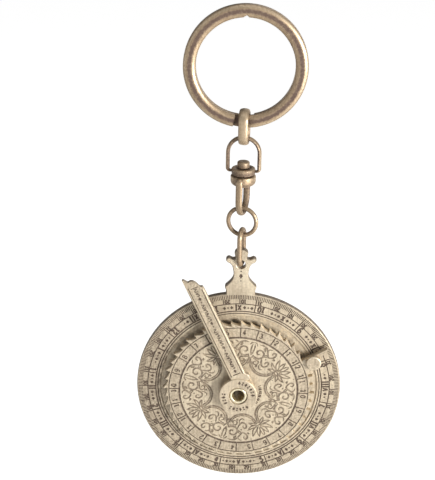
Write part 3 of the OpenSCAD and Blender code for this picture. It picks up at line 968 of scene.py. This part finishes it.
def pointer_knob():
    shape = Shape()
    base, top = DISC_FACE, KNOB_TOP
    profile = [(0.001, top - 0.02, 0.3), (0.6, top - 0.015, 0.28), (1.1, top - 0.01, 0.25),
               (1.36, top - 0.005, 0.1), (1.46, top - 0.02, -0.5), (1.55, top - 0.08, -0.7),
               (1.6, top - 0.18, -0.3), (1.6, base + 0.12, 0.1), (1.57, base + 0.03, 0.6), (1.52, base, 0.8),
               (0.85, base, 0.8), (0.8, base - 0.05, 0.8), (0.8, base - 1.3, 0.8), (0.001, base - 1.3, 0.8)]
    lathe(shape, profile, turned_dial(POINTER), 64, closed=False, middle=(1.3, 17.9))
    shape.make("pointer_knob_turned", "hours", ["pointer_knob"], "antique_brass", FACE_BRASS, 50)


hour_disc()
pointer_knob()


# ---------------------------------------------------------------- index arm, eyelet and washers
ARM_L = 29.8
ARM_BACK = PLATE_FRONT - arm_high.y
ARM_FACE = ARM_BACK + 1.0


def arm_outline():
    """Counter-clockwise; the reading edge is x = 0."""
    shoulder, end = 4.6, ARM_L
    right = [(2.2, 2.4), (3.9, 2.6), (4.2, 3.0), (4.2, 3.6), (4.12, 3.95), (3.75, 4.3), (3.6, shoulder)]
    right += [(3.6, shoulder + (end - 3.6 - shoulder) * i / 10) for i in range(1, 11)]
    tip = [(3.6, 3.5), (3.5, 3.02), (3.15, 2.85), (2.87, 2.6), (2.7, 2.1), (2.45, 1.6), (2.1, 1.15),
           (1.75, 0.95), (1.5, 0.85), (1.15, 0.95), (0.87, 0.85), (0.6, 0.45), (0.32, 0.1)]
    tip = smooth([(x, end - drop) for x, drop in tip], 3)
    left = [(0.14, end - 0.02), (0.0, end - 0.06)]
    left += [(0, end - 0.06 - (end - 3.4) * i / 12) for i in range(1, 13)]
    return right + tip + left + [(0, 2.4)]


def arm_marks(middle, start, end):
    """Lozenges, curls and spots up the blade's panel."""
    marks, y, k = [], start + 0.8, 0
    while y < end - 0.6:
        kind = k % 6
        if kind == 0:
            marks += lozenge(middle, y, 0.36, 0.5)
            y += 1.05
        elif kind == 5:
            marks += spot(middle, y, 0.19)
            y += 0.85
        else:
            hand = 1 if kind % 2 else -1
            bends = [(-0.45, -0.38), (0.3, -0.3), (0.1, 0.05), (-0.3, 0.3), (0.45, 0.4)]
            marks += ribbon(smooth([(middle + dx * hand, y + dy) for dx, dy in bends], 3), 0.25, 0.15)
            y += 1.08
        k += 1
    return marks


def arm_hub(shape, place):
    """An engraved ring with a counterbore."""
    hub_r = 4.15
    outer = arc(0, 0, hub_r - 0.16, 0, 356, 89)
    hole = arc(0, 0, 2.12, 0, 356, 89)
    marks = []
    for first, count in ((28, 7), (168, 6), (262, 4)):
        for i in range(count):
            angle = first + i * 13.5
            if i % 2:
                marks += spot(*clockwise(angle, 2.98), 0.2) + spot(*clockwise(angle, 3.46), 0.2)
            else:
                marks += lozenge(*clockwise(angle, 3.22), 0.3, 0.5, -angle)
    engrave(shape, outer, [hole], [(1, marks)], place, HUB_FACE, [(0.12, 0.95)], 0.15)
    lathe(shape, [(hub_r - 0.16, HUB_FACE, 0.0), (hub_r - 0.05, HUB_FACE - 0.04, -0.6),
                  (hub_r, HUB_FACE - 0.15, -0.3), (hub_r, HUB_FACE - 0.6, 0.2), (hub_r, ARM_BACK + 0.1, 0.45),
                  (hub_r - 0.08, ARM_BACK, 0.5), (1.65, ARM_BACK, 0.5), (1.6, ARM_BACK + 0.05, 0.6),
                  (1.6, HUB_FACE - 0.4, 0.5), (2.0, HUB_FACE - 0.4, 0.4), (2.05, HUB_FACE - 0.35, 0.3),
                  (2.05, HUB_FACE - 0.07, -0.1), (2.12, HUB_FACE, 0.0)], place, 90, closed=False)


def index_arm():
    """The blade and its hub, which are one part."""
    shape = Shape()
    place = turned_dial(ARM_TURN)
    outline = arm_outline()
    thin = [0.22 if y < ARM_L - 3.4 else 0.07 for _, y in outline]
    front = inset(outline, thin)
    soft = inset(outline, [t / 3 for t in thin])
    start, end = 4.95, ARM_L - 2.6
    left, middle, right = 0.95, 1.8, 2.65
    panel = [[Vector((left, start)), Vector((right, start)), Vector((right, end)), Vector((left, end))]]
    lines = []
    for x, top in ((0.52, end + 0.4), (3.08, end - 0.9)):
        lines += ribbon([(x, start - 0.3), (x, top)], 0.2)
    for y in (start, end):
        lines += ribbon([(left, y), (right, y)], 0.2)
    strokes = [(1, panel), (2, lines), (2, arm_marks(middle, start, end))]
    # The face grows darker towards the blade's tip: painted shade.
    engrave(shape, front, [], strokes, place, ARM_FACE, [(0.07, 0.22), (0.17, 0.88)],
            lambda p: 0.5 * max(0.0, (p.y - 12) / 18) - 0.1)
    wall(shape, [(front, ARM_FACE, -0.1), (soft, ARM_FACE - 0.11, -0.15), (outline, ARM_FACE - 0.22, 0.2),
                 (outline, ARM_FACE - 0.5, 0.35), (outline, ARM_BACK + 0.1, 0.5), (soft, ARM_BACK, 0.5)],
         place)
    engrave(shape, soft, [], [], place, ARM_BACK, [], 0.3, back=True)
    arm_hub(shape, place)
    shape.make("index_arm_engraved", "arm", ["index_arm"], "antique_brass", FACE_BRASS)


index_arm()


def sight_eyelet():
    """A tube rolled out at both ends."""
    front, back = PLATE_FRONT - eye_low.y, PLATE_FRONT - eye_high.y
    # The tube's bore wall is dark: painted shade inside the hole.
    profile = [(1.3, back + 0.14, 0.9), (1.42, back, -0.2), (1.95, back + 0.02, -0.4),
               (2.1, back + 0.12, 0.0), (2.05, back + 0.21, 0.3), (1.55, back + 0.22, 0.6),
               (1.55, front - 0.24, 0.8), (1.75, front - 0.22, 0.7), (1.85, front - 0.13, -0.2),
               (1.78, front - 0.02, -0.9), (1.6, front, -0.9), (1.42, front - 0.03, -0.8),
               (1.3, front - 0.16, 0.5)]
    turned_piece("sight_eyelet_rolled", "plate", "sight_eyelet", soft_profile(profile, 0.06), dial,
                 "bright_brass", EYELET_METAL, sharp=60)


def washer(cad, bore, tone):
    low, high = limits(cad)
    back, front, outer = PLATE_FRONT - high.y, PLATE_FRONT - low.y, (high.x - low.x) / 2
    corners = [(bore, back, tone), (outer, back, tone), (outer, front, tone), (bore, front, tone)]
    turned_piece(cad + "_turned", "plate", cad, soft_profile(corners, 0.07), dial,
                 "antique_brass", FACE_BRASS, sharp=40)


sight_eyelet()
washer("disc_washer", 1.6, 0.4)
washer("arm_washer", 1.6, 0.35)
washer("back_washer", 1.56, 0.1)


# ---------------------------------------------------------------- stage, lights and camera
def stage_material():
    """Pale and matt, glowing white behind the object and all round it in the distance."""
    material = bpy.data.materials.new("PaleFloor")
    material.use_nodes = True
    tree = material.node_tree
    shader = tree.nodes["Principled BSDF"]
    shader.inputs["Base Color"].default_value = (0.86, 0.86, 0.86, 1)
    shader.inputs["Roughness"].default_value = 0.9
    shader.inputs["Emission Color"].default_value = (1, 1, 1, 1)
    coords = node(tree, "ShaderNodeTexCoord").outputs["Object"]
    split = node(tree, "ShaderNodeSeparateXYZ")
    tree.links.new(coords, split.inputs[0])
    away = node(tree, "ShaderNodeVectorMath", operation="LENGTH")
    tree.links.new(coords, away.inputs[0])
    behind = mapped(tree, split.outputs["Y"], 0.12, 0.27, 0.0, 0.85)
    far = mapped(tree, away.outputs["Value"], 0.8, 1.4, 0.0, 0.85)
    tree.links.new(math_node(tree, "MAXIMUM", behind, far), shader.inputs["Emission Strength"])
    return material


FLOOR_REACH = 12.0
FLOOR_Z = -0.3
floor_mesh = bpy.data.meshes.new("floor")
floor_corners = [(x * FLOOR_REACH, y * FLOOR_REACH, FLOOR_Z) for x, y in ((-1, -1), (1, -1), (1, 1), (-1, 1))]
floor_mesh.from_pydata(floor_corners, [], [(0, 1, 2, 3)])
floor_mesh.materials.append(stage_material())
floor = bpy.data.objects.new("floor", floor_mesh)
bpy.context.scene.collection.objects.link(floor)


def area_light(name, place, target, size, power, color=(1, 1, 1)):
    data = bpy.data.lights.new(name, "AREA")
    data.shape = "SQUARE"
    data.size, data.energy, data.color = size, power, color
    lamp = bpy.data.objects.new(name, data)
    way = Vector(target) - Vector(place)
    lamp.matrix_world = Matrix.Translation(Vector(place)) @ way.to_track_quat("-Z", "Y").to_matrix().to_4x4()
    bpy.context.scene.collection.objects.link(lamp)


middle = (0, 0, -0.06)
area_light("key", (0.55, -0.55, 0.0), middle, 0.22, 8.3, (1, 0.985, 0.95))
area_light("fill", (-0.6, -0.5, 0.3), middle, 0.6, 0.45)
area_light("overhead", (0.05, -0.2, 0.7), middle, 0.5, 0.9)
area_light("back", (0.25, 0.6, 0.2), middle, 0.5, 0.6)

world = bpy.data.worlds.new("world")
bpy.context.scene.world = world
world.use_nodes = True
world.node_tree.nodes["Background"].inputs["Color"].default_value = (1, 1, 1, 1)
world.node_tree.nodes["Background"].inputs["Strength"].default_value = 0.14

yaw, pitch, roll = math.radians(-1.15), math.radians(21.62), math.radians(0.90)
forward = Vector((math.sin(yaw) * math.cos(pitch), math.cos(yaw) * math.cos(pitch), -math.sin(pitch)))
right = Vector((math.cos(yaw), -math.sin(yaw), 0))
up = right.cross(forward)
right, up = right * math.cos(roll) + up * math.sin(roll), up * math.cos(roll) - right * math.sin(roll)
camera_data = bpy.data.cameras.new("camera")
camera_data.lens = 97.5
camera_data.sensor_width = 36
camera_data.clip_start, camera_data.clip_end = 0.01, 20
camera = bpy.data.objects.new("camera", camera_data)
turn = Matrix((right, up, -forward)).transposed().to_4x4()
camera.matrix_world = Matrix.Translation(Vector((0, -256.98, 64.03)) * MM) @ turn
bpy.context.scene.collection.objects.link(camera)
bpy.context.scene.camera = camera
bpy.context.scene.view_settings.view_transform = "Standard"
